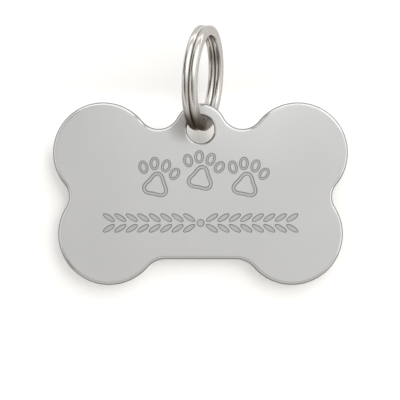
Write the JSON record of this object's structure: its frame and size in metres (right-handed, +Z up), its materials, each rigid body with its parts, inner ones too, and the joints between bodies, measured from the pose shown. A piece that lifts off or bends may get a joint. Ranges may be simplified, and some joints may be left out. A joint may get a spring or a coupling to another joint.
{
  "type": "pet id tag",
  "caption": "Bone-shaped flat metal pet tag with bevelled edges and a holed ear, hung from a flat-wire split ring that joins it to a collar; the tag swings on the ring.",
  "frame": {"origin": "centre of the split ring's loop, where a collar's ring carries the tag", "axes": "+Z up as the tag hangs, +X to the right seen from the front, and the tag's front face looks along -Y"},
  "size_m": [0.04, 0.014, 0.0353],
  "materials": {
    "tag_metal": "satin stainless steel with a bevelled edge",
    "ring_metal": "polished nickel plate on spring steel"
  },
  "bodies": {
    "ring": {"split_ring": "ring_metal"},
    "tag": {"tag_plate": "tag_metal"}
  },
  "joints": [
    {"name": "tag_swing", "type": "hinge", "parent": "ring", "child": "tag", "pos_m": [-0.00036, 0, -0.007], "axis": [0, 1, 0], "range_deg": [-60, 60]}
  ]
}
